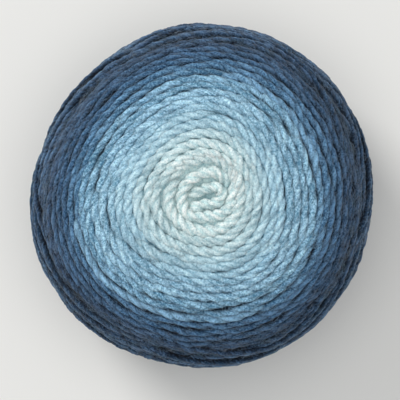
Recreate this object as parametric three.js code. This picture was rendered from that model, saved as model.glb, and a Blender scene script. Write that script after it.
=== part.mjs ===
// A yarn cake: one long plied strand wound round and round into a squat, domed form that stands
// on a small pressed flat. Millimetres, +Z up, origin in the middle of the flat.
// The skin is one grid of crests and troughs. On the crown its rows follow the turns of the
// winding, which run outward counter-clockwise, and on the side they become the crossing wraps.

import * as THREE from 'three';

// Driving dimensions
const WIDEST_RADIUS = 65; // mean radius at the fullest level
const UPPER_HEIGHT = 44; // fullest level up to the crown
const LOWER_HEIGHT = 45; // fullest level down to the round bottom, before it is pressed flat
const PRESSED_DEPTH = 3; // how much of the round bottom the standing flat takes away
const SQUARENESS = 2.5; // 2 is an ellipse, more is a fuller shoulder
const TURN_PITCH = 4.6; // one turn of the strand to the next, along the skin
const CROWN_RELIEF = 1.0; // crest height over the mean skin on the crown
const SIDE_RELIEF = 1.15; // the same on the crossing wraps of the side

// The eye, where the winding starts
const EYE = { x: -1.7, y: 0.3, first: 2.4, dipDepth: 4.2, dipRadius: 8.5, nubHeight: 2.2 };

// Where the crown's turns give way to the side's wraps
const CROWN_ENDS_AT = { radius: 55, blend: 9 };

// The turns are not round circles: slow waves round the cake, as shares of the radius
const OUTLINE_WAVES = [
  { count: 2, share: 0.0126, phaseDegrees: -106 },
  { count: 3, share: 0.0088, phaseDegrees: 128 },
  { count: 4, share: 0.006, phaseDegrees: -86 },
];
const TURN_WAVE = { count: 3, height: 1.3, phaseDegrees: 126, radius: 34 };
const CROWN_SWELL = { count: 2, height: 0.6, phaseDegrees: 40, radius: 38 };

// The grid of the skin
const COLUMNS = 62; // two more or two fewer is a multiple of WRAP_ROWS, so the wraps close
const ROW_STEP = TURN_PITCH / 2; // a row on each crest and one in each trough
const ROWS_PER_TURN = 2;
const WRAP_ROWS = 4; // rows from one wrap of the side to the next
const PROFILE_STEPS = 120;

const DEGREE = Math.PI / 180;
const profile = profileCurve();
const profileLength = profile.getLength();

// The round half outline from the crown to the bottom, as radius and height over the fullest level
function profileCurve() {
  const points = [];
  for (let step = 0; step <= PROFILE_STEPS; step += 1) {
    const lean = (Math.PI * step) / PROFILE_STEPS;
    const radius = WIDEST_RADIUS * Math.abs(Math.sin(lean)) ** (2 / SQUARENESS);
    const reach = Math.abs(Math.cos(lean)) ** (2 / SQUARENESS);
    points.push(new THREE.Vector2(radius, lean < Math.PI / 2 ? UPPER_HEIGHT * reach : -LOWER_HEIGHT * reach));
  }
  return new THREE.SplineCurve(points);
}

function wave({ count, phaseDegrees }, angle) {
  return Math.cos(count * angle + phaseDegrees * DEGREE);
}

// A hump of height 1 at the stated radius that fades on both sides of it
function hump(radius, middle) {
  return Math.exp(-(((radius - middle) / (middle / 2)) ** 2));
}

// Crests and troughs of the crown's turns, and of the side's two crossing sets of wraps
function relief(row, column, radius, height) {
  const turns = row % 2 === 0 ? 1 : -1;
  const rising = Math.cos((2 * Math.PI * (row + column)) / WRAP_ROWS);
  const falling = Math.cos((2 * Math.PI * (row - column)) / WRAP_ROWS);
  const wraps = Math.max(rising, falling);
  const { radius: ends, blend } = CROWN_ENDS_AT;
  const side = height < 0 ? 1 : THREE.MathUtils.smoothstep(radius, ends - blend / 2, ends + blend / 2);
  return THREE.MathUtils.lerp(turns * CROWN_RELIEF, wraps * SIDE_RELIEF, side);
}

// One point of the skin, and how far it stands over the mean skin. The distance runs along the
// profile from the eye outward and down.
function skinPoint(row, column) {
  const angle = (2 * Math.PI * column) / COLUMNS;
  const distance = EYE.first + (row + (ROWS_PER_TURN * column) / COLUMNS) * ROW_STEP;
  const along = Math.min(distance / profileLength, 1);
  const { x: meanRadius, y: meanHeight } = profile.getPointAt(along);
  const heading = profile.getTangentAt(along);
  const raised = relief(row, column, meanRadius, meanHeight);
  const reach = meanRadius / WIDEST_RADIUS;
  const wobble = OUTLINE_WAVES.reduce((sum, item) => sum + item.share * wave(item, angle), 0);
  const crown = meanHeight > 0 ? 1 : 0;
  const shifted = crown * TURN_WAVE.height * wave(TURN_WAVE, angle) * hump(meanRadius, TURN_WAVE.radius);
  const swelling = crown * CROWN_SWELL.height * wave(CROWN_SWELL, angle) * hump(meanRadius, CROWN_SWELL.radius);
  const dip = crown * EYE.dipDepth * Math.exp(-((meanRadius / EYE.dipRadius) ** 2));
  const radius = meanRadius * (1 + wobble * reach) + shifted - heading.y * raised;
  const height = meanHeight + swelling - dip + heading.x * raised;
  const towardEye = crown * (1 - reach);
  const place = new THREE.Vector3(
    radius * Math.cos(angle) + towardEye * EYE.x,
    radius * Math.sin(angle) + towardEye * EYE.y,
    Math.max(height + LOWER_HEIGHT - PRESSED_DEPTH, 0),
  );
  return { place, raised };
}

// Rows until one lies wholly on the standing flat, and one more for the last turn to end on
function countRows() {
  let row = 2 * ROWS_PER_TURN;
  while (skinPoint(row, 0).place.z > 0 || skinPoint(row - 1, 0).place.z > 0) row += 1;
  return row + ROWS_PER_TURN;
}

const pointIndex = (row, column) => row * COLUMNS + column;

// The rim that the spiral grid leaves open at either end, stepping back over the seam
function openRim(row, stepsBack) {
  const rim = [];
  for (let column = 0; column < COLUMNS; column += 1) rim.push(pointIndex(row, column));
  return rim.concat(stepsBack);
}

// Two triangles of one cell, split along its higher diagonal so that a slanting wrap stays a ridge
function cellFaces(raised, inner, outer, outerNext, innerNext) {
  const rising = raised[inner] + raised[outerNext];
  const falling = raised[outer] + raised[innerNext];
  if (rising >= falling) return [inner, outer, outerNext, inner, outerNext, innerNext];
  return [inner, outer, innerNext, outer, outerNext, innerNext];
}

function woundSkin() {
  const lastRow = countRows();
  const points = [];
  const raised = [];
  for (let row = 0; row <= lastRow; row += 1) {
    for (let column = 0; column < COLUMNS; column += 1) {
      const point = skinPoint(row, column);
      points.push(point.place);
      raised.push(point.raised);
    }
  }

  const faces = [];
  for (let row = 0; row < lastRow; row += 1) {
    for (let column = 0; column < COLUMNS; column += 1) {
      const crossesSeam = column === COLUMNS - 1;
      const nextRow = crossesSeam ? row + ROWS_PER_TURN : row;
      if (nextRow + 1 > lastRow) continue;
      const nextColumn = crossesSeam ? 0 : column + 1;
      const inner = pointIndex(row, column);
      const innerNext = pointIndex(nextRow, nextColumn);
      const outer = pointIndex(row + 1, column);
      const outerNext = pointIndex(nextRow + 1, nextColumn);
      faces.push(...cellFaces(raised, inner, outer, outerNext, innerNext));
    }
  }

  const eyeRim = openRim(0, [pointIndex(2, 0), pointIndex(1, 0)]);
  const eye = points.push(new THREE.Vector3(EYE.x, EYE.y, points[0].z + EYE.nubHeight)) - 1;
  eyeRim.forEach((point, place) => faces.push(eye, point, eyeRim[(place + 1) % eyeRim.length]));

  const lastColumn = COLUMNS - 1;
  const flatSteps = [pointIndex(lastRow - 1, lastColumn), pointIndex(lastRow - 2, lastColumn)];
  const flatRim = openRim(lastRow, flatSteps);
  const flat = points.push(new THREE.Vector3(0, 0, 0)) - 1;
  flatRim.forEach((point, place) => faces.push(flat, flatRim[(place + 1) % flatRim.length], point));

  const geometry = new THREE.BufferGeometry().setFromPoints(points);
  geometry.setIndex(faces);
  return geometry;
}

// Moves the cake sideways until its outline is centred over the origin
function centreOverOrigin(geometry) {
  geometry.computeBoundingBox();
  const middle = geometry.boundingBox.getCenter(new THREE.Vector3());
  geometry.translate(-middle.x, -middle.y, 0);
  geometry.computeVertexNormals();
  return geometry;
}

function woundCake() {
  const yarn = new THREE.MeshStandardMaterial({ color: 0x5f8fb0, roughness: 0.95, metalness: 0 });
  const mesh = new THREE.Mesh(centreOverOrigin(woundSkin()), yarn);
  mesh.name = 'wound_cake';
  return mesh;
}

const cake = new THREE.Group();
cake.add(woundCake());

export default cake;
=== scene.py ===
"""A yarn cake: one plied strand, dyed from icy white to navy, wound into a squat round form.

The crown shows the strand's turns running round the eye, each length of it rising from under the
turn outside it and diving under the length that follows. The side shows tilted wraps that cross each
other, and the underside its own turns, pressed flat where the cake stands.
"""

import bpy
import numpy as np
from bpy.props import FloatProperty, FloatVectorProperty, IntProperty, PointerProperty
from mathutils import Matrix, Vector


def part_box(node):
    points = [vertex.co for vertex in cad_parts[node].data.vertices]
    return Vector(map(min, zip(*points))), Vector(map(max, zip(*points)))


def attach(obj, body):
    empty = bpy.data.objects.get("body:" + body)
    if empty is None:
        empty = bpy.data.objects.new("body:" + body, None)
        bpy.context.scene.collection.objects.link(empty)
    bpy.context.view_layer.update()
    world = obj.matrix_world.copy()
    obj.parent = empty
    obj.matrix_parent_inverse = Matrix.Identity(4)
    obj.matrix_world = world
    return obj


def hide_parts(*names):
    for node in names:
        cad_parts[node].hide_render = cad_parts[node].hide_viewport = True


bl_info = {
    "name": "Yarn Cake",
    "version": (1, 0, 0),
    "blender": (4, 5, 0),
    "location": "3D View > Sidebar > Yarn Cake",
    "description": "Winds a dyed plied strand into a yarn cake and lights it on a pale floor",
    "category": "Object",
}

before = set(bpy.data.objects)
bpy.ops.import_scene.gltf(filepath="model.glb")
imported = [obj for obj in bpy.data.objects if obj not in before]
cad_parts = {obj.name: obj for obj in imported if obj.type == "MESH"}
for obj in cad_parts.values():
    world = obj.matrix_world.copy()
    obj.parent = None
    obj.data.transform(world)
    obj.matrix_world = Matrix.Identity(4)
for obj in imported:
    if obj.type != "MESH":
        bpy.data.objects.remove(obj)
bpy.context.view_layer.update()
NODE = "wound_cake"
BODY = "root"
NODE_LOW, NODE_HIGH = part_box(NODE)

MM = 0.001
TURN = 2.0 * np.pi

# The mean skin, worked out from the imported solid: its crests stand this far over it
CREST = 1.15 * MM
MEAN_RADIUS = (NODE_HIGH.x - NODE_LOW.x + NODE_HIGH.y - NODE_LOW.y) / 4.0 - CREST
LOWER_HEIGHT = 45.0 * MM
PRESSED_DEPTH = 3.0 * MM
UPPER_HEIGHT = 44.0 * MM
SQUARENESS = 2.5

# Slow waves round the cake: how many, how strong and where the first crest is
OUTLINE_WAVES = (
    {"count": 2, "share": 0.0126, "phase": -106.0},
    {"count": 3, "share": 0.0088, "phase": 128.0},
    {"count": 4, "share": 0.006, "phase": -86.0},
)
TURN_WAVE = {"count": 3, "size": 1.3 * MM, "phase": 126.0, "radius": 34.0 * MM}
CROWN_SWELL = {"count": 2, "size": 0.6 * MM, "phase": 40.0, "radius": 38.0 * MM}
EYE = {"x": -1.7 * MM, "y": 0.3 * MM, "dip": 3.2 * MM, "dip_radius": 9.0 * MM}
HEART_SHIFT = {"x": 2.4 * MM, "radius": 16.0 * MM}

# The innermost yarn, placed as seen from above: x and y in mm from the middle of the cake, and
# how far the strand's middle is raised over where the turns lie
HEART_HOOK = (
    (-4.7, 0.1, -5.0), (-4.1, 0.5, -1.4), (-2.6, 1.1, 0.0), (-0.6, 1.8, 0.2), (1.6, 2.5, 0.3),
    (4.1, 3.1, 0.3), (6.3, 2.9, 0.2), (7.3, 1.2, 0.1), (6.9, -1.0, 0.0), (5.2, -2.5, 0.0),
    (2.8, -3.2, 0.1), (0.2, -3.6, 0.2), (-2.3, -4.2, 0.0), (-4.0, -5.1, -1.4), (-4.8, -6.0, -5.0),
)
HEART_TURN = (
    (10.2, 1.9, -5.0), (9.9, 4.5, -1.8), (7.7, 7.0, -0.5), (4.4, 8.3, 0.0), (0.7, 8.1, 0.1),
    (-3.0, 6.9, 0.0), (-5.7, 4.5, 0.0), (-7.2, 1.2, 0.1), (-7.4, -2.5, 0.1), (-6.1, -6.1, 0.0),
    (-3.2, -7.7, 0.0), (0.4, -8.1, 0.1), (4.4, -7.5, 0.1), (8.0, -5.9, 0.0), (10.8, -3.0, 0.0),
    (12.1, 1.4, 0.2), (12.1, 6.3, 0.2), (9.5, 10.5, 0.0), (5.5, 12.9, 0.1), (0.7, 13.5, 0.1),
    (-4.1, 12.4, 0.0), (-8.5, 9.8, 0.0), (-11.0, 6.6, -0.5), (-12.2, 3.2, -2.4), (-12.2, -0.6, -5.0),
)

# The lanes that the turns lie in: where they start beyond the innermost yarn, how far round the first
# length of strand runs, how many degrees one runs near the eye and how many less at the rim, what share
# of that a single length may take, and the way over which it dives
LANES_START = 11.9 * MM
LANES_ANGLE = np.radians(150.0)
FIRST_LENGTH = TURN * 0.7
NEAR_EYE_DEGREES = 190.0
FEWER_AT_RIM = 95.0
SHORTEST_SHARE, LONGEST_SHARE = 0.6, 1.3
DIVE_RUN = 13.0 * MM

# What changes on the way out from the middle of the crown, as where it starts and the run it takes: the
# strand slackens and thins, the turns close up, their lengths shorten, stray and lean, and near the rim
# they tighten again until the wraps of the side cover them
SLACKENS = (0.0, 45.0 * MM)
THINS = (7.0 * MM, 25.0 * MM)
CLOSE_UP = (9.0 * MM, 20.0 * MM)
SHORTEN = (12.0 * MM, 40.0 * MM)
STRAY = (20.0 * MM, 30.0 * MM)
LEAN = (9.0 * MM, 10.0 * MM)
NEAR_RIM = (42.0 * MM, 14.0 * MM)
COVERED = (58.0 * MM, 10.0 * MM)

# Shares along the strand: at the eye, what slackness adds, and what nearness to the rim adds
CREASE_DEPTH = (1.0, -0.4, -0.25)
# How much painted shade the creases between plies get
CREASE_SHADE = (0.56, -0.16, 0.18)
# Where painted shade starts round a strand's flank, and below it the run over which that shade grows
FLANK_STARTS = (0.7, 0.15, 0.08)
FLANK_FADES = (0.95, -0.4, -0.18)

# The crown's three pieces: how far out each reaches, the row width of its bake map, and how many points
# outline a ply, most where it is seen best
CROWN_PIECES = (
    ("crown_turns_near_eye", 32.0 * MM, 200.0 * MM, 6),
    ("crown_turns_middle", 57.0 * MM, 280.0 * MM, 5),
    ("crown_turns_near_rim", np.inf, 280.0 * MM, 4),
)

# Free room between two strands on the bake map
BAKE_GAP = 0.5 * MM

# The dyes: how far along the way from the eye out over the shoulder each has its full colour, in mm,
# and that colour as seen in daylight
DYES = (
    ("icy_white", 0.0, (208, 226, 226)),
    ("frost", 8.0, (228, 243, 242)),
    ("pale_ice", 15.0, (221, 238, 239)),
    ("pale_blue", 22.0, (199, 224, 231)),
    ("sky", 29.0, (176, 213, 231)),
    ("clear_blue", 36.0, (168, 208, 231)),
    ("steel_blue", 42.0, (144, 189, 216)),
    ("denim", 48.0, (99, 143, 179)),
    ("deep_denim", 54.0, (74, 113, 150)),
    ("navy", 62.0, (58, 86, 118)),
    ("soft_navy", 92.0, (84, 120, 155)),
)

# Painted shade in deep gaps and creases, as what it leaves of the dye near the eye and far from it, and
# how dark and light flecks tint the dye, red most of all: partly fibre tone, partly painted highlight
# and shade
PALE_GAP_SHADE = (0.62, 0.83, 0.89, 1.0)
DARK_GAP_SHADE = (0.04, 0.06, 0.08, 1.0)
DARK_FLECK_SHADE = (0.28, 0.45, 0.53)
LIGHT_FLECK_HIGHLIGHT = (1.72, 1.55, 1.47)

# From where to where on that way the painted shade in the gaps darkens and the flecks grow stronger
GAP_SHADE_DARKENS = (12.0 * MM, 46.0 * MM)
FLECKS_GROW = (25.0 * MM, 60.0 * MM)

# How much streaks along the ply count beside the even fleece, what brings both back to a middle of one
# half, and how much soft patches and the strand's own tone count
STREAK_SHARE = 0.55
FLEECE_LEVEL = 0.645
PATCH_SHARE = 0.5
TONE_SHARE = 0.055

# The lights: name, setting that holds the power, width and place in metres
LIGHTS = (
    ("window_light", "key_power", 1.1, (-1.40, 1.60, 1.80)),
    ("ceiling_light", "ceiling_power", 2.2, (0.0, 0.0, 2.2)),
)
LIGHT_COLOUR = (1.0, 0.985, 0.96)
AIR_COLOUR = (0.96, 0.98, 1.0, 1.0)
FLOOR_HALF = 3.0

# The photograph's frame: its side and the middle of the cake's outline in pixels, and a pixel's real
# size at the cake's fullest level, which is half its height
PHOTO_SIDE = 400
PHOTO_MIDDLE = (201.9, 195.8)
PIXEL = 0.384 * MM
SENSOR_WIDTH = 36.0


def ease(value, start, run):
    """0 up to the start, 1 from a run beyond it on, and a smooth rise between them."""
    share = np.clip((value - start) / run, 0.0, 1.0)
    return share * share * (3.0 - 2.0 * share)


def along_strand(shares, slack, near_rim):
    """A share that changes along the strand with its slackness and its nearness to the rim."""
    at_eye, by_slack, by_rim = shares
    return at_eye + by_slack * slack + by_rim * near_rim


def fade(distance, width):
    """1 at no distance, fading on both sides over the given width."""
    return np.exp(-((distance / width) ** 2))


def dot(one, other):
    """Dot products of vectors, kept as a last axis of one."""
    return np.sum(one * other, axis=-1, keepdims=True)


def unit(vectors):
    """Vectors of length 1."""
    return vectors / np.linalg.norm(vectors, axis=-1, keepdims=True)


def round_wave(wave, angle):
    """A slow wave round the cake, of about -1 to 1."""
    return np.cos(wave["count"] * angle + np.radians(wave["phase"]))


def crown_wave(wave, radius, angle):
    """A slow wave round the crown at its full size at one radius, fading on both sides of it."""
    return wave["size"] * round_wave(wave, angle) * fade(radius - wave["radius"], wave["radius"] / 2.0)


def through(points, samples):
    """An even number of places on a smooth curve through given points."""
    points = np.asarray(points, float)
    padded = np.concatenate((2 * points[:1] - points[1:2], points, 2 * points[-1:] - points[-2:-1]))
    spot = np.linspace(0.0, len(points) - 1.0, samples)
    start = np.minimum(spot.astype(int), len(points) - 2)
    part = (spot - start)[:, None]
    before, here, after, beyond = (padded[start + step] for step in range(4))
    return 0.5 * (
        2.0 * here + (after - before) * part
        + (2.0 * before - 5.0 * here + 4.0 * after - beyond) * part ** 2
        + (3.0 * here - before - 3.0 * after + beyond) * part ** 3
    )


def drift(places, lengths, generator):
    """A smooth wandering value of about -1 to 1 along a strand, from waves of the given lengths."""
    total = np.zeros_like(places)
    for length in lengths:
        wave = np.sin(TURN * places / length + generator.uniform(0.0, TURN))
        total += wave * generator.uniform(0.5, 1.0)
    return total / len(lengths)


class WoundForm:
    """The cake's mean skin, measured along its half outline from the middle of the crown."""

    def __init__(self, sizes):
        self.mean_radius = sizes.mean_radius
        lean = np.linspace(0.0, np.pi, 1441)
        power = 2.0 / sizes.squareness
        self.radius = sizes.mean_radius * np.abs(np.sin(lean)) ** power
        reach = np.abs(np.cos(lean)) ** power
        height = np.where(lean < np.pi / 2.0, sizes.upper_height, -sizes.lower_height) * reach
        steps = np.hypot(np.diff(self.radius), np.diff(height))
        self.distance = np.concatenate(([0.0], np.cumsum(steps)))
        self.length = self.distance[-1]
        self.floor = sizes.lower_height - sizes.pressed_depth
        self.height = np.maximum(height, -self.floor)
        outward = unit(np.stack((-np.gradient(self.height), np.gradient(self.radius)), axis=-1))
        self.out_radius, self.out_height = outward[:, 0], outward[:, 1]
        self.widest = self.distance[np.argmax(self.radius)]
        self.middle = np.zeros(3)
        ring = self.place(np.linspace(0.0, TURN, 721), np.full(721, self.widest), np.zeros(721))
        self.middle = (ring.min(axis=0) + ring.max(axis=0)) / 2.0 * (1.0, 1.0, 0.0)

    def along(self, distance, values):
        """Values of the half outline at given distances from the middle of the crown."""
        return np.interp(distance, self.distance, values)

    def outward(self, angle, distance):
        """The skin's outward direction."""
        flat = self.along(distance, self.out_radius)
        upright = self.along(distance, self.out_height)
        return unit(np.stack((flat * np.cos(angle), flat * np.sin(angle), upright), axis=-1))

    def eye_shift(self, mean_radius):
        """How far the turns of that radius are moved sideways, toward the eye and round its heart."""
        toward = 1.0 - mean_radius / self.mean_radius
        heart = HEART_SHIFT["x"] * fade(mean_radius, HEART_SHIFT["radius"])
        return toward * EYE["x"] + heart, toward * EYE["y"]

    def place(self, angle, distance, lift):
        """Points that stand a lift over the skin."""
        mean_radius = self.along(distance, self.radius)
        mean_height = self.along(distance, self.height)
        reach = mean_radius / self.mean_radius
        wobble = sum(wave["share"] * round_wave(wave, angle) for wave in OUTLINE_WAVES)
        crown = (mean_height > 0.0).astype(float)
        shifted = crown * crown_wave(TURN_WAVE, mean_radius, angle)
        swell = crown * crown_wave(CROWN_SWELL, mean_radius, angle)
        dip = crown * EYE["dip"] * fade(mean_radius, EYE["dip_radius"])
        radius = mean_radius * (1.0 + wobble * reach) + shifted
        radius = radius + self.along(distance, self.out_radius) * lift
        height = mean_height + swell - dip + self.along(distance, self.out_height) * lift
        shift_x, shift_y = self.eye_shift(mean_radius)
        points = np.stack((
            radius * np.cos(angle) + crown * shift_x,
            radius * np.sin(angle) + crown * shift_y,
            height + self.floor,
        ), axis=-1)
        return points - self.middle

    def spot(self, points):
        """The angle and distance of points near the eye that are given by x and y."""
        radius = np.zeros(len(points))
        for _ in range(5):
            shift_x, shift_y = self.eye_shift(radius)
            x = points[:, 0] + self.middle[0] - shift_x
            y = points[:, 1] + self.middle[1] - shift_y
            radius = np.hypot(x, y)
        upper = self.height > 0.0
        return np.unwrap(np.arctan2(y, x)), np.interp(radius, self.radius[upper], self.distance[upper])


class Route:
    """The way of one strand over the form, with how much it swells and where its dye comes from."""

    def __init__(self, form, angle, distance, lift, swell, dye, step):
        places = form.place(angle, distance, lift)
        run = np.concatenate(([0.0], np.cumsum(np.linalg.norm(np.diff(places, axis=0), axis=1))))
        self.station = np.linspace(0.0, run[-1], max(int(run[-1] / step), 8) + 1)
        values = (np.interp(self.station, run, item) for item in (angle, distance, lift, swell, dye))
        self.angle, self.distance, self.lift, self.swell, self.dye = values
        self.length = run[-1]


class Skein:
    """Gathers the tubes of many strands, and turns them into one mesh."""

    def __init__(self, row_width, gap=BAKE_GAP):
        self.row_width, self.gap = row_width, gap
        self.points, self.corners, self.sizes = [], [], []
        self.strand_map, self.bake_map = [], []
        self.values = {"dye": [], "tone": [], "hollow": []}
        self.count = 0
        self.tape = [gap, gap]
        self.row_height = 0.0

    def reserve(self, length, girth):
        """A free stretch of the bake map's rows, in metres, for a tube of that length and girth."""
        if self.tape[0] + length > self.row_width:
            self.tape = [self.gap, self.tape[1] + self.row_height]
            self.row_height = 0.0
        start = tuple(self.tape)
        self.tape[0] += length + 2.0 * self.gap
        self.row_height = max(self.row_height, girth + self.gap)
        return start

    def add_tubes(self, rings, station, values, girth):
        """Rings of points along each of several tubes, closed round and at both ends."""
        tubes, side_count = rings.shape[0], rings.shape[2]
        index = self.count + np.arange(rings[..., 0].size).reshape(rings.shape[:3])
        beside = np.roll(index, -1, axis=2)
        quads = np.stack((index[:, :-1], beside[:, :-1], beside[:, 1:], index[:, 1:]), axis=-1)
        caps = np.stack((index[:, 0, ::-1], index[:, -1]), axis=1)
        self.points.append(rings.reshape(-1, 3))
        self.corners.append(np.concatenate((quads.reshape(-1), caps.reshape(-1))))
        self.sizes.append(np.concatenate((np.full(quads.size // 4, 4), np.full(2 * tubes, side_count))))
        self.count += index.size
        for name, item in values.items():
            self.values[name].append(np.broadcast_to(item, index.shape).reshape(-1))

        sides = np.arange(side_count)
        run = np.stack((station[:, :-1], station[:, :-1], station[:, 1:], station[:, 1:]), axis=-1)
        run = np.broadcast_to(run[:, :, None, :], quads.shape)
        share = np.stack((sides, sides + 1, sides + 1, sides), axis=-1) / side_count
        share = np.broadcast_to(share, quads.shape)
        cap_share = np.stack((sides[::-1], sides)) / side_count
        # On both maps an end cap is a narrow bow beyond its end of the tube, inside the free room
        bow = 0.4 * self.gap * np.sin(np.pi * cap_share) * ((-1.0,), (1.0,))
        cap_run = station[:, (0, -1), None] + bow
        cap_share = np.broadcast_to(cap_share, cap_run.shape)
        starts = np.array([self.reserve(length, girth) for length in station[:, -1]])
        for tube_run, tube_share in ((run, share), (cap_run, cap_share)):
            tube_run, tube_share = tube_run.reshape(tubes, -1), tube_share.reshape(tubes, -1)
            self.strand_map.append(np.stack((tube_run, tube_share), axis=-1).reshape(-1, 2))
            baked = np.stack((starts[:, :1] + tube_run, starts[:, 1:] + tube_share * girth), axis=-1)
            self.bake_map.append(baked.reshape(-1, 2))

    def piece(self, name, material):
        """Makes the mesh and its object, which rides on the cake's body and stands for its solid."""
        corners = np.concatenate(self.corners)
        sizes = np.concatenate(self.sizes)
        points = np.concatenate(self.points)
        points[:, 2] = np.maximum(points[:, 2], 0.0)
        mesh = bpy.data.meshes.new(name)
        mesh.vertices.add(len(points))
        mesh.vertices.foreach_set("co", points.reshape(-1))
        mesh.loops.add(len(corners))
        mesh.loops.foreach_set("vertex_index", corners)
        mesh.polygons.add(len(sizes))
        mesh.polygons.foreach_set("loop_start", np.concatenate(([0], np.cumsum(sizes)[:-1])))
        mesh.polygons.foreach_set("use_smooth", np.ones(len(sizes), bool))
        bake_side = max(self.row_width + self.gap, self.tape[1] + self.row_height)
        maps = (("OFBake", self.bake_map, bake_side), ("Strand", self.strand_map, 1.0))
        for map_name, parts, side in maps:
            places = np.concatenate(parts) / side
            mesh.uv_layers.new(name=map_name).data.foreach_set("uv", places.reshape(-1))
        for value_name, parts in self.values.items():
            layer = mesh.attributes.new(value_name, "FLOAT", "POINT")
            layer.data.foreach_set("value", np.concatenate(parts))
        mesh.update(calc_edges=True)
        mesh.validate()
        mesh.materials.append(material)
        thing = bpy.data.objects.new(name, mesh)
        bpy.context.collection.objects.link(thing)
        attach(thing, BODY)
        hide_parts(NODE)


class PlySection:
    """The outline of a strand's cross section: as many lobes as plies, with a crease between them."""

    def __init__(self, plies, points_per_ply):
        within = np.arange(points_per_ply) / points_per_ply
        toward_crown = 0.045
        within = within + toward_crown * np.sin(TURN * within)
        self.angle = (np.arange(plies)[:, None] + within[None, :]).reshape(-1) * TURN / plies
        from_crown = np.tile(np.abs(2.0 * within - 1.0), plies)
        self.crease = from_crown ** 2
        # How much painted shade each point of the section gets, most in the creases between plies
        self.hollow = from_crown ** 3
        self.ply = np.repeat(np.arange(plies), points_per_ply)
        self.plies = plies


def lay_strand(skein, form, route, yarn, section, generator):
    """Builds one plied tube along a route and adds it to a skein."""
    centre = form.place(route.angle, route.distance, route.lift)
    heading = unit(np.gradient(centre, axis=0))
    outward = form.outward(route.angle, route.distance)
    outward = unit(outward - heading * dot(outward, heading))
    across = np.cross(heading, outward)
    slack = ease(route.distance, *SLACKENS)
    near_rim = ease(route.distance, *NEAR_RIM)

    twist_length = yarn.twist_length * (0.7 + 0.42 * slack)
    turning = np.cumsum(TURN / twist_length * np.gradient(route.station))
    turning += 0.5 * drift(route.station, (19.0 * MM, 37.0 * MM), generator)
    turning += generator.uniform(0.0, TURN)
    around = turning[:, None] + section.angle[None, :]

    lumps = [drift(route.station, (6.0 * MM, 11.0 * MM), generator) for _ in range(section.plies)]
    lumps = 0.08 * np.stack(lumps, axis=1) + 0.08 * generator.uniform(-1.0, 1.0, section.plies)
    ply_swell = 1.0 + lumps[:, section.ply] * (1.0 - 0.4 * near_rim)[:, None]
    crease = yarn.crease * along_strand(CREASE_DEPTH, slack, near_rim)
    bulge = 1.0 - crease[:, None] * section.crease[None, :]
    slim = 1.07 - 0.24 * ease(route.distance, *THINS) - 0.09 * near_rim
    bulge = bulge * (slim * route.swell)[:, None] * ply_swell
    bulge = bulge + generator.normal(0.0, 0.022, bulge.shape)
    from_end = np.minimum(route.station, route.length - route.station)
    bulge = bulge * (0.25 + 0.75 * ease(from_end, start=0.0, run=3.0 * MM))[:, None]
    rings = (
        centre[:, None, :]
        + outward[:, None, :] * (yarn.half_height * bulge * np.cos(around))[:, :, None]
        + across[:, None, :] * (yarn.half_width * bulge * np.sin(around))[:, :, None]
    )

    tones = generator.uniform(-1.0, 1.0, section.plies)[section.ply][None, :]
    tones = tones + generator.normal(0.0, 0.8)
    tones = tones + 0.8 * drift(route.station, (9.0 * MM, 31.0 * MM), generator)[:, None]
    tones = tones * (0.35 + 1.15 * slack + 1.6 * slack ** 4 + 1.2 * near_rim)[:, None]

    # Painted shade by depth: in a ply crease, on a flank next to other strands, or on a sunk strand
    flank_starts = along_strand(FLANK_STARTS, slack, near_rim)[:, None]
    flank_fades = along_strand(FLANK_FADES, slack, near_rim)[:, None]
    flank = ease(flank_starts - np.cos(around), start=0.0, run=flank_fades)
    hollow = along_strand(CREASE_SHADE, slack, near_rim)[:, None] * section.hollow[None, :]
    hollow = np.maximum(hollow, (0.2 + 0.8 * slack[:, None] ** 2) * flank)
    # Strands sunk under the others get painted shade, the deeper the darker
    buried = 0.9 * ease(-route.lift, start=yarn.sunk + 0.3 * MM, run=1.6 * MM)
    hollow = np.maximum(hollow, buried[:, None])
    values = {"dye": route.dye[:, None], "tone": tones, "hollow": hollow}
    girth = np.pi * (yarn.half_height + yarn.half_width)
    skein.add_tubes(rings[None], route.station[None], values, girth)


def heart_routes(form, yarn):
    """The innermost yarn: a hook that curls in the eye, and the turn that lies round it."""
    routes = []
    for points in (HEART_HOOK, HEART_TURN):
        places = through(points, 400) * MM
        angle, distance = form.spot(places)
        lift = places[:, 2] - yarn.sunk
        swell = np.ones(len(places))
        routes.append(Route(form, angle, distance, lift, swell, distance, yarn.crown_step))
    return routes


def spiral_of_turns(yarn, first, last):
    """How far from the middle the turns lie after so much turning: wider apart near the eye."""
    distance = np.linspace(first, last, 1500)
    pitch = yarn.pitch + (yarn.close_pitch - yarn.pitch) * ease(distance, *CLOSE_UP)
    return np.cumsum(TURN / pitch) * (distance[1] - distance[0]), distance


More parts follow.
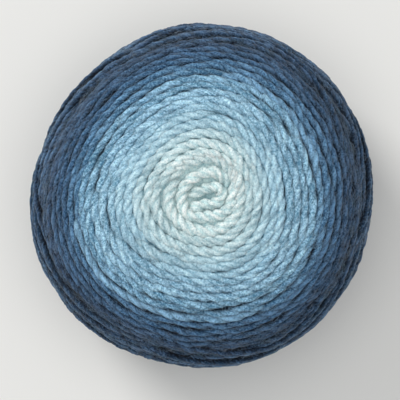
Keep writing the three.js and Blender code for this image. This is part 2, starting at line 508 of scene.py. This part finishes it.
def lane_routes(form, yarn, first, last, underside, seed):
    """Splits the spiral of turns between two distances into lengths of strand.

    Each length rises from under the turn outside it, leans inward across its lane as it runs round, and
    dives under the length that takes the lane over.
    """
    generator = np.random.RandomState(seed)
    turned, reached = spiral_of_turns(yarn, 2.0 * MM, last + 8.0 * MM)
    turned = turned - np.interp(first, reached, turned)
    whole = np.interp(last, reached, turned)
    breaks = [0.0]
    ahead = FIRST_LENGTH
    while ahead < whole:
        breaks.append(ahead)
        runs = NEAR_EYE_DEGREES - FEWER_AT_RIM * ease(np.interp(ahead, turned, reached), *SHORTEN)
        ahead += np.radians(runs) * generator.uniform(SHORTEST_SHARE, LONGEST_SHARE)
    breaks.append(whole)
    routes = []
    for start, end in zip(breaks[:-1], breaks[1:]):
        rise_run = DIVE_RUN / max(np.interp(start, turned, reached), 6.0 * MM)
        dive_run = DIVE_RUN / max(np.interp(end, turned, reached), 6.0 * MM)
        angle = np.linspace(start - rise_run, end + dive_run, 500)
        lane = np.interp(angle, turned, reached)
        pitch = np.gradient(lane, angle) * TURN
        walked = (angle - angle[0]) * np.maximum(lane, 5.0 * MM)
        rising = ease(start + 0.3 * rise_run - angle, start=0.0, run=1.3 * rise_run)
        diving = ease(angle, start=end - 0.5 * dive_run, run=1.5 * dive_run)
        wander = drift(walked, (17.0 * MM, 29.0 * MM, 53.0 * MM), generator)
        wander = (0.36 + 0.36 * ease(lane, *STRAY)) * MM * wander
        share = np.clip((angle - start) / (end - start), 0.0, 1.0)
        leaning = 0.35 * ease(lane, *LEAN) * (0.5 - share)
        distance = lane + pitch * (0.75 * rising - 0.06 * diving + leaning) + wander
        depth = 0.95 * rising + 1.05 * diving
        bob = 0.5 * MM * drift(walked, (23.0 * MM, 41.0 * MM), generator) + 0.3 * MM * (share - 0.5)
        covered = 1.6 * MM * ease(lane, *COVERED)
        lift = -yarn.sunk - 2.0 * yarn.half_height * depth + bob - covered
        swell = generator.uniform(0.93, 1.05) + 0.07 * drift(walked, (13.0 * MM, 37.0 * MM), generator)
        dye = lane + generator.normal(0.0, 0.8 * MM)
        if underside:
            distance = form.length - distance
        step = yarn.under_step if underside else yarn.crown_step
        routes.append(Route(form, angle + LANES_ANGLE, distance, lift, swell, dye, step))
    return routes


def wrap_routes(form, yarn, sizes, seed):
    """Tilted loops round the side, which climb to the shoulder, turn there and sink to the underside.

    The ends of a loop lie over each other by a little and tuck under its neighbours.
    """
    generator = np.random.RandomState(seed)
    routes = []
    golden = (np.sqrt(5.0) - 1.0) / 2.0
    half_loop = np.pi + 0.06
    tuck = 0.2
    spread = sizes.wrap_top_high - sizes.wrap_top_low
    for number in range(sizes.wraps):
        phase = TURN * (number + generator.uniform(-0.2, 0.2)) / sizes.wraps
        top = sizes.wrap_top_low + spread * (number * golden % 1.0)
        bottom = form.length - sizes.wrap_top_low - spread * ((number * golden + 0.5) % 1.0) - 2.0 * MM
        turned = np.linspace(-half_loop, half_loop, 900)
        middle, swing = (top + bottom) / 2.0, (bottom - top) / 2.0
        angle = turned + phase
        walked = (turned - turned[0]) * form.mean_radius
        wander = 0.8 * MM * drift(walked, (43.0 * MM, 71.0 * MM, 113.0 * MM), generator)
        distance = middle - swing * np.cos(turned) + wander
        over = np.sin(3.0 * angle + distance / (11.0 * MM))
        over = over + 0.6 * np.sin(5.0 * angle - distance / (7.0 * MM))
        weave = np.tanh(1.6 * over) * np.tanh(2.5 * np.sin(turned))
        layer = generator.uniform(-1.0, 1.0)
        tucked = 3.0 * MM * ease(np.abs(turned), start=half_loop - tuck, run=tuck)
        lift = -yarn.sunk + sizes.wrap_weave * (0.8 * weave + 0.6 * layer - 0.3) - tucked
        swell = generator.uniform(0.93, 1.05) + 0.06 * drift(walked, (17.0 * MM, 43.0 * MM), generator)
        dye = np.full_like(angle, top + 2.0 * MM * layer + 2.0 * MM)
        routes.append(Route(form, angle, distance, lift, swell, dye, yarn.side_step))
    return routes


def lay_fibres(skein, form, yarn, fleece, nearest, farthest, count, generator):
    """Short fibres that arch off the strands, as thin three-sided tubes."""
    reach = np.linspace(nearest, farthest, 400)
    room = np.cumsum(form.along(reach, form.radius))
    middle = np.interp(generator.uniform(0.0, room[-1], count), room, reach)
    angle = generator.uniform(0.0, TURN, count)
    slant = generator.normal(0.0, np.radians(32.0), count)
    length = fleece.length * generator.uniform(0.6, 1.3, count)
    share = np.array((-0.5, -0.17, 0.17, 0.5))
    along = length[:, None] * share[None, :]
    curl = generator.normal(0.0, 0.16, (count, 4)) * fleece.length
    radius = np.maximum(form.along(middle, form.radius), 4.0 * MM)
    turned = angle[:, None] + (np.cos(slant)[:, None] * along) / radius[:, None]
    distance = np.maximum(middle[:, None] + np.sin(slant)[:, None] * along + 0.4 * curl, 0.5 * MM)
    arch = 1.0 - (2.0 * share) ** 2
    stands = fleece.stands_off * generator.uniform(0.3, 1.5, count)
    sinks = 0.5 * MM + 1.0 * MM * ease(middle, *COVERED)
    foot = yarn.half_height - yarn.sunk - sinks
    lift = foot[:, None] + (stands + 0.3 * MM)[:, None] * arch[None, :]
    centre = form.place(turned, distance, lift)
    heading = unit(np.gradient(centre, axis=1))
    outward = form.outward(turned, distance)
    across = unit(np.cross(heading, outward))
    outward = np.cross(across, heading)
    around = np.arange(3) * TURN / 3.0
    thickness = fleece.half_thickness * np.array((0.6, 1.0, 1.0, 0.6))
    rings = (
        centre[:, :, None, :]
        + outward[:, :, None, :] * (thickness[:, None] * np.cos(around))[None, :, :, None]
        + across[:, :, None, :] * (thickness[:, None] * np.sin(around))[None, :, :, None]
    )
    steps = np.linalg.norm(np.diff(centre, axis=1), axis=2)
    station = np.concatenate((np.zeros((count, 1)), np.cumsum(steps, axis=1)), axis=1)
    dye = np.minimum(middle, form.length - middle) + generator.normal(0.0, 2.0 * MM, count)
    tone = generator.uniform(-4.0, 2.0, count)
    values = {"dye": dye[:, None, None], "tone": tone[:, None, None], "hollow": np.zeros((1, 1, 1))}
    skein.add_tubes(rings, station, values, TURN * fleece.half_thickness)


# Shader helpers

def feed(node, values):
    """Sets a node's inputs, found by name or number, or links them to other nodes' outputs."""
    for name, value in values.items():
        if isinstance(value, bpy.types.NodeSocket):
            node.id_data.links.new(value, node.inputs[name])
        else:
            node.inputs[name].default_value = value


def add_node(tree, kind, values=None, **settings):
    """A node with its settings and its inputs."""
    made = tree.nodes.new(kind)
    for name, value in settings.items():
        setattr(made, name, value)
    feed(made, values or {})
    return made


def calculate(tree, operation, *values, **settings):
    """The result of a math node on numbers and other nodes' outputs."""
    made = add_node(tree, "ShaderNodeMath", dict(enumerate(values)), operation=operation, **settings)
    return made.outputs[0]


def mix(tree, kind, factor, first, second, **settings):
    """The result of a mix node between two values of the given kind."""
    made = add_node(tree, "ShaderNodeMix", {"Factor": factor}, data_type=kind, **settings)
    numbers = [number for number, socket in enumerate(made.inputs) if socket.type == kind]
    feed(made, dict(zip(numbers[-2:], (first, second))))
    return next(socket for socket in made.outputs if socket.type == kind)


def noise(tree, place, scale, roughness):
    """A soft noise of about 0 to 1 over the given places."""
    made = add_node(tree, "ShaderNodeTexNoise", {
        "Vector": place, "Scale": scale, "Detail": 2.0, "Roughness": roughness})
    return made.outputs["Fac"]


def new_group(name, inputs, outputs):
    """A node group with nothing but its sockets, given as names and kinds."""
    tree = bpy.data.node_groups.new(name, "ShaderNodeTree")
    for way, sockets in (("INPUT", inputs), ("OUTPUT", outputs)):
        for socket, kind in sockets.items():
            tree.interface.new_socket(socket, in_out=way, socket_type="NodeSocket" + kind)
    return tree


def linear(colour):
    """A daylight colour of 0 to 255 as the linear colour that shaders work in."""
    share = np.asarray(colour, float) / 255.0
    return tuple(np.where(share <= 0.04045, share / 12.92, ((share + 0.055) / 1.055) ** 2.4))


def dye_group():
    """The dye of the yarn at its place along the winding, given in metres."""
    name = "yarn_dye"
    if name in bpy.data.node_groups:
        return bpy.data.node_groups[name]
    tree = new_group(name, {"Place": "Float"}, {"Colour": "Color"})
    given = add_node(tree, "NodeGroupInput").outputs
    span = DYES[-1][1] * MM
    share = calculate(tree, "DIVIDE", given["Place"], span)
    ramp = add_node(tree, "ShaderNodeValToRGB", {"Fac": share})
    stops = ramp.color_ramp.elements
    while len(stops) < len(DYES):
        stops.new(1.0)
    for stop, (dye, place, _) in zip(stops, DYES):
        stop.position = place * MM / span
        stop.color = (*getattr(bpy.context.scene.yarn_dyes, dye), 1.0)
    add_node(tree, "NodeGroupOutput", {"Colour": ramp.outputs["Color"]})
    return tree


def fibre_group():
    """Flecks (fibre tone, painted highlight and shade) and painted gap shade over the dye; a bump
    height.
    """
    name = "ply_fibres"
    if name in bpy.data.node_groups:
        return bpy.data.node_groups[name]
    inputs = {
        "Colour": "Color", "Gap": "Color", "Tone": "Float", "Hollow": "Float", "Fleck": "Float",
        "Shade": "Float"}
    tree = new_group(name, inputs, {"Colour": "Color", "Height": "Float"})
    given = add_node(tree, "NodeGroupInput").outputs
    place = add_node(tree, "ShaderNodeTexCoord").outputs["Object"]
    strand = add_node(tree, "ShaderNodeUVMap", uv_map="Strand").outputs["UV"]
    stretch = add_node(tree, "ShaderNodeMapping", {"Vector": strand, "Scale": (420.0, 26.0, 1.0)})
    fleece = noise(tree, place, scale=1300.0, roughness=0.7)
    streaks = noise(tree, stretch.outputs["Vector"], scale=1.0, roughness=0.6)
    patches = noise(tree, place, scale=95.0, roughness=0.5)

    both = calculate(tree, "MULTIPLY_ADD", streaks, STREAK_SHARE, fleece)
    height = calculate(tree, "MULTIPLY", both, FLEECE_LEVEL)
    flecks = calculate(tree, "MULTIPLY", calculate(tree, "SUBTRACT", height, 0.5), given["Fleck"])
    patched = calculate(
        tree, "MULTIPLY_ADD", calculate(tree, "SUBTRACT", patches, 0.5), PATCH_SHARE, flecks)
    toned = calculate(tree, "MULTIPLY_ADD", given["Tone"], TONE_SHARE, patched)
    gain = calculate(tree, "ADD", toned, 0.5, use_clamp=True)
    # Flecks: partly fibre tone, partly painted highlight and painted shade, lighter where the bump
    # height is high
    tint = mix(tree, "VECTOR", gain, DARK_FLECK_SHADE, LIGHT_FLECK_HIGHLIGHT)
    tinted = add_node(tree, "ShaderNodeVectorMath", {0: given["Colour"], 1: tint}, operation="MULTIPLY")

    # Painted shade in creases, on flanks, on sunk strands and in gaps, multiplied over the dye
    shade_share = calculate(tree, "MULTIPLY", given["Hollow"], given["Shade"], use_clamp=True)
    with_painted_shade = mix(tree, "RGBA", shade_share, tinted.outputs[0], given["Gap"], blend_type="MULTIPLY")
    add_node(tree, "NodeGroupOutput", {"Colour": with_painted_shade, "Height": height})
    return tree


def yarn_material(name, fleck, fleck_far, shade, bump, sheen):
    """Plied yarn: dyed by its place in the winding, with painted shade in gaps, fibrous, matt, soft
    sheen.

    Fleck is how strong the flecks are near the eye, and fleck_far what that grows to towards the rim.
    """
    material = bpy.data.materials.new(name)
    material.use_nodes = True
    tree = material.node_tree
    place, tone, hollow = (
        add_node(tree, "ShaderNodeAttribute", attribute_name=value).outputs["Fac"]
        for value in ("dye", "tone", "hollow"))
    dye = add_node(tree, "ShaderNodeGroup", {"Place": place}, node_tree=dye_group())
    strength = add_node(tree, "ShaderNodeMapRange", {
        "Value": place, "From Min": FLECKS_GROW[0], "From Max": FLECKS_GROW[1],
        "To Min": fleck, "To Max": fleck_far})
    # The colour of the painted shade in gaps and creases: paler near the eye, darker farther out
    darker_shade = add_node(tree, "ShaderNodeMapRange", {
        "Value": place, "From Min": GAP_SHADE_DARKENS[0], "From Max": GAP_SHADE_DARKENS[1]})
    gap = mix(tree, "RGBA", darker_shade.outputs["Result"], PALE_GAP_SHADE, DARK_GAP_SHADE)
    # Shade sets how strong that painted shade is
    fibres = add_node(tree, "ShaderNodeGroup", {
        "Colour": dye.outputs["Colour"], "Gap": gap, "Tone": tone, "Hollow": hollow,
        "Fleck": strength.outputs["Result"], "Shade": shade}, node_tree=fibre_group())

    surface = tree.nodes["Principled BSDF"]
    feed(surface, {
        "Base Color": fibres.outputs["Colour"], "Roughness": 0.92, "Specular IOR Level": 0.22,
        "Sheen Weight": sheen, "Sheen Roughness": 0.55, "Subsurface Weight": 0.6,
        "Subsurface Radius": (1.0, 1.0, 1.0), "Subsurface Scale": 1.1 * MM})
    if bump > 0.0:
        relief = add_node(tree, "ShaderNodeBump", {
            "Strength": bump, "Distance": 0.7 * MM, "Height": fibres.outputs["Height"]})
        feed(surface, {"Normal": relief.outputs["Normal"]})
    return material


def shared_material(name, **values):
    """The yarn material of that name, made the first time that a piece asks for it."""
    if name not in bpy.data.materials:
        return yarn_material(name, **values)
    return bpy.data.materials[name]


def strand_material():
    """The one material of every strand on the skin."""
    return shared_material("plied_yarn", fleck=2.1, fleck_far=8.5, shade=1.0, bump=0.75, sheen=0.08)


# Settings that a user would change

class WoundFormSizes(bpy.types.PropertyGroup):
    """The shape that the strand is wound into."""

    mean_radius: FloatProperty(
        name="Mean radius", description="Radius of the skin at the fullest level",
        default=MEAN_RADIUS, unit="LENGTH")
    upper_height: FloatProperty(
        name="Upper height", description="From the fullest level up to the crown",
        default=UPPER_HEIGHT, unit="LENGTH")
    lower_height: FloatProperty(
        name="Lower height", description="From the fullest level down to the round bottom",
        default=LOWER_HEIGHT, unit="LENGTH")
    pressed_depth: FloatProperty(
        name="Pressed depth", description="How much of the round bottom the standing flat takes away",
        default=PRESSED_DEPTH, unit="LENGTH")
    squareness: FloatProperty(
        name="Squareness", description="2 is an ellipse, more is a fuller shoulder", default=SQUARENESS)
    wraps: IntProperty(name="Wraps", description="Tilted loops round the side", default=39)
    wrap_top_low: FloatProperty(
        name="Highest turn", description="Least way from the eye at which a side wrap turns back",
        default=57.0 * MM, unit="LENGTH")
    wrap_top_high: FloatProperty(
        name="Lowest turn", description="Greatest way from the eye at which a side wrap turns back",
        default=79.0 * MM, unit="LENGTH")
    wrap_weave: FloatProperty(
        name="Weave", description="How far crossing wraps stand over and under the skin",
        default=1.1 * MM, unit="LENGTH")


class StrandSizes(bpy.types.PropertyGroup):
    """The plied strand itself."""

    pitch: FloatProperty(
        name="Pitch", description="One turn to the next near the eye",
        default=4.1 * MM, unit="LENGTH")
    close_pitch: FloatProperty(
        name="Close pitch", description="One turn to the next away from the eye, where turns overlap",
        default=2.95 * MM, unit="LENGTH")
    half_width: FloatProperty(
        name="Half width", description="Half the strand's width along the skin",
        default=2.25 * MM, unit="LENGTH")
    half_height: FloatProperty(
        name="Half height", description="Half the strand's height off the skin",
        default=2.2 * MM, unit="LENGTH")
    sunk: FloatProperty(
        name="Sunk", description="How deep the strand's middle lies under the mean skin",
        default=1.2 * MM, unit="LENGTH")
    plies: IntProperty(name="Plies", description="How many plies are twisted together", default=3)
    twist_length: FloatProperty(
        name="Twist length", description="Length in which a ply goes about once round the strand",
        default=16.0 * MM, unit="LENGTH")
    crease: FloatProperty(
        name="Crease", description="Depth of the crease between plies, as a share of the radius",
        default=0.44, subtype="FACTOR", min=0.0, max=0.6)
    crown_step: FloatProperty(
        name="Crown step", description="Ring spacing on the crown", default=0.75 * MM, unit="LENGTH")
    side_step: FloatProperty(
        name="Side step", description="Ring spacing on the side", default=1.35 * MM, unit="LENGTH")
    under_step: FloatProperty(
        name="Underside step", description="Ring spacing on the underside",
        default=1.4 * MM, unit="LENGTH")


class YarnDyes(bpy.types.PropertyGroup):
    """The dyes of the yarn, one colour for each row of the table."""

    __annotations__ = {
        name: FloatVectorProperty(
            name=name.replace("_", " ").capitalize(), description=f"Dye {place:g} mm out from the eye",
            subtype="COLOR", default=linear(colour), min=0.0, max=1.0)
        for name, place, colour in DYES}


class LooseFibres(bpy.types.PropertyGroup):
    """The short fibres that stand off the strands."""

    crown_count: IntProperty(
        name="On the crown", description="How many fibres on the crown", default=8500)
    side_count: IntProperty(
        name="Round the side", description="How many fibres round the side", default=5000)
    length: FloatProperty(
        name="Length", description="Usual length of a fibre", default=3.0 * MM, unit="LENGTH")
    half_thickness: FloatProperty(
        name="Half thickness", description="Half a fibre's thickness",
        default=0.042 * MM, unit="LENGTH")
    stands_off: FloatProperty(
        name="Stands off", description="How far a fibre arches off the strands",
        default=0.35 * MM, unit="LENGTH")


class StudioLook(bpy.types.PropertyGroup):
    """The floor, the lights and the camera."""

    floor_colour: FloatVectorProperty(
        name="Floor colour", description="Colour of the pale floor", subtype="COLOR",
        default=(0.80, 0.80, 0.785), min=0.0, max=1.0)
    camera_height: FloatProperty(
        name="Camera height", description="Height of the camera over the floor",
        default=0.80, unit="LENGTH")
    key_power: FloatProperty(
        name="Key power", description="Power of the soft window-like light",
        default=36.5, unit="POWER")
    ceiling_power: FloatProperty(
        name="Ceiling power", description="Power of the broad light overhead",
        default=20.0, unit="POWER")
    fill_strength: FloatProperty(
        name="Fill strength", description="Strength of the even light from all round", default=0.42)


# Operators, one for each group of pieces

class YARN_OT_buried_layer(bpy.types.Operator):
    """Make the layer of older turns that shows in the gaps"""

    bl_idname = "yarn.buried_layer"
    bl_label = "Buried Layer"

    def execute(self, context):
        form = WoundForm(context.scene.yarn_form)
        yarn = context.scene.yarn_strand
        points_round, levels = 150, 96
        distance = np.linspace(0.6 * MM, form.length - 0.6 * MM, levels)
        angle = np.linspace(0.0, TURN, points_round, endpoint=False)
        around, along = np.meshgrid(angle, distance)
        dye = np.minimum(along, form.length - along)
        covered = 1.0 * MM * ease(dye, *COVERED)
        deeper = 0.7 * ease(dye, start=14.0 * MM, run=24.0 * MM) + 0.12 * fade(along, width=6.0 * MM)
        depth = yarn.sunk + (0.35 + deeper) * yarn.half_height + covered
        rings = form.place(around, along, -depth)
        # Painted shade over the whole layer, stronger farther out and near the eye, where the slit is
        hollow = 0.3 + 0.7 * ease(dye, start=0.0, run=40.0 * MM) + 0.3 * fade(along, width=7.0 * MM)
        values = {"dye": dye, "tone": np.array(-1.0), "hollow": hollow}
        skein = Skein(row_width=form.length + 10.0 * MM)
        station = (distance - distance[0])[None]
        skein.add_tubes(rings[None, :, ::-1], station, values, TURN * form.mean_radius)
        skein.piece("buried_turns", shared_material(
            "buried_yarn", fleck=1.8, fleck_far=4.0, shade=0.9, bump=0.8, sheen=0.0))
        return {"FINISHED"}


class YARN_OT_crown_turns(bpy.types.Operator):
    """Lay the turns of the crown, from the eye out over the shoulder"""

    bl_idname = "yarn.crown_turns"
    bl_label = "Crown Turns"

    def execute(self, context):
        form = WoundForm(context.scene.yarn_form)
        yarn = context.scene.yarn_strand
        generator = np.random.RandomState(11)
        routes = heart_routes(form, yarn)
        routes += lane_routes(form, yarn, LANES_START, form.widest, underside=False, seed=7)
        parts = [
            (name, reach, Skein(row_width), PlySection(yarn.plies, points))
            for name, reach, row_width, points in CROWN_PIECES]
        for route in routes:
            distance = np.median(route.distance)
            _, _, skein, section = next(part for part in parts if distance < part[1])
            lay_strand(skein, form, route, yarn, section, generator)
        for name, _, skein, _ in parts:
            skein.piece(name, strand_material())
        return {"FINISHED"}


class YARN_OT_side_wraps(bpy.types.Operator):
    """Lay the tilted wraps that cross each other round the side"""

    bl_idname = "yarn.side_wraps"
    bl_label = "Side Wraps"

    def execute(self, context):
        form = WoundForm(context.scene.yarn_form)
        yarn = context.scene.yarn_strand
        section = PlySection(yarn.plies, points_per_ply=3)
        generator = np.random.RandomState(23)
        routes = wrap_routes(form, yarn, context.scene.yarn_form, seed=19)
        for name, share in (("side_wraps_odd", routes[0::2]), ("side_wraps_even", routes[1::2])):
            skein = Skein(row_width=480.0 * MM)
            for route in share:
                lay_strand(skein, form, route, yarn, section, generator)
            skein.piece(name, strand_material())
        return {"FINISHED"}


class YARN_OT_underside_turns(bpy.types.Operator):
    """Lay the turns of the underside, pressed flat where the cake stands"""

    bl_idname = "yarn.underside_turns"
    bl_label = "Underside Turns"

    def execute(self, context):
        form = WoundForm(context.scene.yarn_form)
        yarn = context.scene.yarn_strand
        section = PlySection(yarn.plies, points_per_ply=3)
        generator = np.random.RandomState(31)
        skein = Skein(row_width=260.0 * MM)
        reach = form.length - form.widest
        for route in lane_routes(form, yarn, first=5.0 * MM, last=reach, underside=True, seed=29):
            lay_strand(skein, form, route, yarn, section, generator)
        skein.piece("underside_turns", strand_material())
        return {"FINISHED"}


class YARN_OT_loose_fibres(bpy.types.Operator):
    """Scatter the short loose fibres that stand off the strands"""

    bl_idname = "yarn.loose_fibres"
    bl_label = "Loose Fibres"

    def execute(self, context):
        form = WoundForm(context.scene.yarn_form)
        yarn = context.scene.yarn_strand
        fleece = context.scene.yarn_fibres
        generator = np.random.RandomState(41)
        fibre = shared_material(
            "loose_fibre", fleck=0.0, fleck_far=0.0, shade=0.0, bump=0.0, sheen=0.08)
        crown_ends = 66.0 * MM
        zones = (
            ("loose_fibres_crown", 3.0 * MM, crown_ends, fleece.crown_count),
            ("loose_fibres_side", crown_ends, form.length - 50.0 * MM, fleece.side_count),
        )
        for name, nearest, farthest, count in zones:
            skein = Skein(row_width=160.0 * MM, gap=0.12 * MM)
            lay_fibres(skein, form, yarn, fleece, nearest, farthest, count, generator)
            skein.piece(name, fibre)
        return {"FINISHED"}


class YARN_OT_studio(bpy.types.Operator):
    """Set the pale floor, the soft lights and the camera straight overhead"""

    bl_idname = "yarn.studio"
    bl_label = "Studio"

    def execute(self, context):
        look = context.scene.yarn_studio
        scene = context.scene
        scene.view_settings.view_transform = "Standard"

        sides = ((-1, -1), (1, -1), (1, 1), (-1, 1))
        corners = [(x * FLOOR_HALF, y * FLOOR_HALF, 0.0) for x, y in sides]
        mesh = bpy.data.meshes.new("studio_floor")
        mesh.from_pydata(corners, [], [(0, 1, 2, 3)])
        floor = bpy.data.objects.new("studio_floor", mesh)
        paint = bpy.data.materials.new("pale_floor")
        paint.use_nodes = True
        feed(paint.node_tree.nodes["Principled BSDF"], {
            "Base Color": (*look.floor_colour, 1.0), "Roughness": 0.95, "Specular IOR Level": 0.1})
        mesh.materials.append(paint)
        context.collection.objects.link(floor)

        world = bpy.data.worlds.new("studio_air")
        world.use_nodes = True
        feed(world.node_tree.nodes["Background"], {"Color": AIR_COLOUR, "Strength": look.fill_strength})
        scene.world = world

        for name, power, width, place in LIGHTS:
            light = bpy.data.lights.new(name, "AREA")
            light.shape = "DISK"
            light.size = width
            light.energy = getattr(look, power)
            light.color = LIGHT_COLOUR
            lamp = bpy.data.objects.new(name, light)
            lamp.location = place
            lamp.rotation_euler = (-lamp.location).to_track_quat("-Z", "Y").to_euler()
            context.collection.objects.link(lamp)

        lens = bpy.data.cameras.new("overhead_camera")
        camera = bpy.data.objects.new("overhead_camera", lens)
        fullest_level = NODE_HIGH.z * 0.5
        lens.sensor_width = SENSOR_WIDTH
        lens.clip_end = 20.0
        lens.lens = SENSOR_WIDTH * (look.camera_height - fullest_level) / (PHOTO_SIDE * PIXEL)
        camera.location = (
            (PHOTO_SIDE / 2.0 - PHOTO_MIDDLE[0]) * PIXEL,
            (PHOTO_MIDDLE[1] - PHOTO_SIDE / 2.0) * PIXEL,
            look.camera_height,
        )
        context.collection.objects.link(camera)
        scene.camera = camera
        return {"FINISHED"}


class YARN_PT_cake(bpy.types.Panel):
    """The steps that make the yarn cake"""

    bl_idname = "YARN_PT_cake"
    bl_label = "Yarn Cake"
    bl_space_type = "VIEW_3D"
    bl_region_type = "UI"
    bl_category = "Yarn Cake"

    def draw(self, context):
        for setting in SETTINGS:
            group = getattr(context.scene, setting)
            box = self.layout.box()
            for name in group.__annotations__:
                box.prop(group, name)
        for step in STEPS:
            self.layout.operator(step.bl_idname)


SETTINGS = {
    "yarn_form": WoundFormSizes,
    "yarn_strand": StrandSizes,
    "yarn_dyes": YarnDyes,
    "yarn_fibres": LooseFibres,
    "yarn_studio": StudioLook,
}
STEPS = (
    YARN_OT_buried_layer,
    YARN_OT_crown_turns,
    YARN_OT_side_wraps,
    YARN_OT_underside_turns,
    YARN_OT_loose_fibres,
    YARN_OT_studio,
)
CLASSES = (*SETTINGS.values(), *STEPS, YARN_PT_cake)


def register():
    """Makes the settings, the operators and the panel known to Blender."""
    for item in CLASSES:
        bpy.utils.register_class(item)
    for name, group in SETTINGS.items():
        setattr(bpy.types.Scene, name, PointerProperty(type=group))


def unregister():
    """Takes them away again, last first."""
    for name in reversed(SETTINGS):
        delattr(bpy.types.Scene, name)
    for item in reversed(CLASSES):
        bpy.utils.unregister_class(item)


def main():
    """Makes every piece and the stage."""
    register()
    bpy.ops.yarn.buried_layer()
    bpy.ops.yarn.crown_turns()
    bpy.ops.yarn.side_wraps()
    bpy.ops.yarn.underside_turns()
    bpy.ops.yarn.loose_fibres()
    bpy.ops.yarn.studio()


if __name__ == "__main__":
    main()
